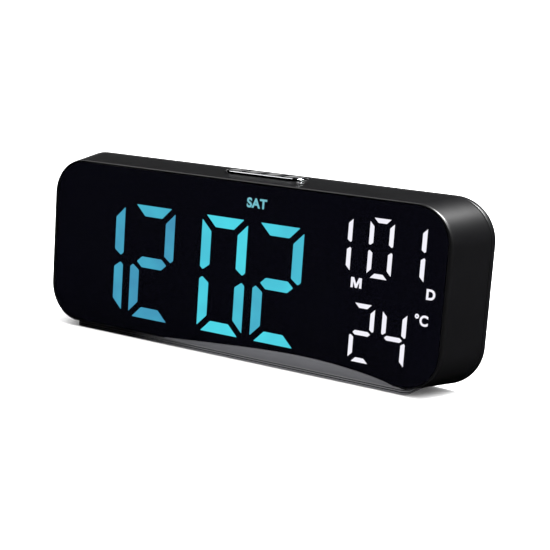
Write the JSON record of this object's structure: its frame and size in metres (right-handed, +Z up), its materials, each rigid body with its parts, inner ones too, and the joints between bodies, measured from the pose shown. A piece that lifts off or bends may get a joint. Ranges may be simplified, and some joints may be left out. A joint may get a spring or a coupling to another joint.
{
  "type": "alarm clock",
  "caption": "Wide desk alarm clock with a smoked display panel, a flared shell, a row of sprung top keys, a twist-lock battery cap and a ribbed foot.",
  "frame": {"origin": "centre of the footprint, on the surface that the clock stands on", "axes": "+X to the viewer's right along the long side, -Y out of the display panel, +Z up"},
  "size_m": [0.1978, 0.024, 0.0741],
  "materials": {
    "satin_abs": "satin black moulded ABS",
    "smoked_acrylic": "polished smoked acrylic",
    "chromed_trim": "chromed plastic",
    "gloss_key": "gloss black keycap",
    "milky_film": "matt diffuser film",
    "white_nylon": "white moulded reflector",
    "circuit_board": "green solder mask",
    "chip_epoxy": "matt epoxy",
    "plated_steel": "nickel-plated steel",
    "spring_brass": "plated spring brass",
    "pad_rubber": "matt rubber",
    "ribbon_pvc": "grey flat cable"
  },
  "bodies": {
    "clock_body": {"base_foot": "satin_abs", "board_screw_1": "plated_steel", "board_screw_2": "plated_steel", "board_screw_3": "plated_steel", "board_screw_4": "plated_steel", "buzzer": "chip_epoxy", "clock_crystal": "plated_steel", "coin_cell": "plated_steel", "coin_contact": "spring_brass", "controller_chip": "chip_epoxy", "date_temperature_reflector": "white_nylon", "diffuser_film": "milky_film", "display_board": "circuit_board", "display_lens": "smoked_acrylic", "down_switch_body": "plated_steel", "foot_pad_1": "pad_rubber", "foot_pad_2": "pad_rubber", "foot_pad_3": "pad_rubber", "foot_pad_4": "pad_rubber", "foot_screw_1": "plated_steel", "foot_screw_2": "plated_steel", "front_housing": "satin_abs", "key_board": "circuit_board", "key_board_screw_1": "plated_steel", "key_board_screw_2": "plated_steel", "key_cable": "ribbon_pvc", "key_trim": "chromed_trim", "led_driver_left": "chip_epoxy", "led_driver_right": "chip_epoxy", "mode_switch_body": "plated_steel", "power_board": "circuit_board", "rear_cover": "satin_abs", "rear_cover_screw_1": "plated_steel", "rear_cover_screw_2": "plated_steel", "rear_cover_screw_3": "plated_steel", "rear_cover_screw_4": "plated_steel", "snooze_switch_body": "plated_steel", "temperature_sensor": "chip_epoxy", "time_reflector": "white_nylon", "up_switch_body": "plated_steel", "usb_socket": "plated_steel", "weekday_reflector": "white_nylon"},
    "mode_key": {"mode_keycap": "gloss_key", "mode_switch_plunger": "gloss_key"},
    "up_key": {"up_keycap": "gloss_key", "up_switch_plunger": "gloss_key"},
    "down_key": {"down_keycap": "gloss_key", "down_switch_plunger": "gloss_key"},
    "snooze_key": {"snooze_keycap": "gloss_key", "snooze_switch_plunger": "gloss_key"},
    "battery_cap": {"battery_cap": "satin_abs"}
  },
  "joints": [
    {"name": "mode_press", "type": "slide", "parent": "clock_body", "child": "mode_key", "axis": [0, 0, -1], "range_m": [0, 0.0006], "stiffness_N_per_m": 900, "springref_m": -0.0004},
    {"name": "up_press", "type": "slide", "parent": "clock_body", "child": "up_key", "axis": [0, 0, -1], "range_m": [0, 0.0006], "stiffness_N_per_m": 900, "springref_m": -0.0004},
    {"name": "down_press", "type": "slide", "parent": "clock_body", "child": "down_key", "axis": [0, 0, -1], "range_m": [0, 0.0006], "stiffness_N_per_m": 900, "springref_m": -0.0004},
    {"name": "snooze_press", "type": "slide", "parent": "clock_body", "child": "snooze_key", "axis": [0, 0, -1], "range_m": [0, 0.0006], "stiffness_N_per_m": 900, "springref_m": -0.0004},
    {"name": "battery_cap_turn", "type": "hinge", "parent": "clock_body", "child": "battery_cap", "pos_m": [0.028, 0.011, 0.034], "axis": [0, 1, 0], "range_deg": [0, 45]}
  ]
}
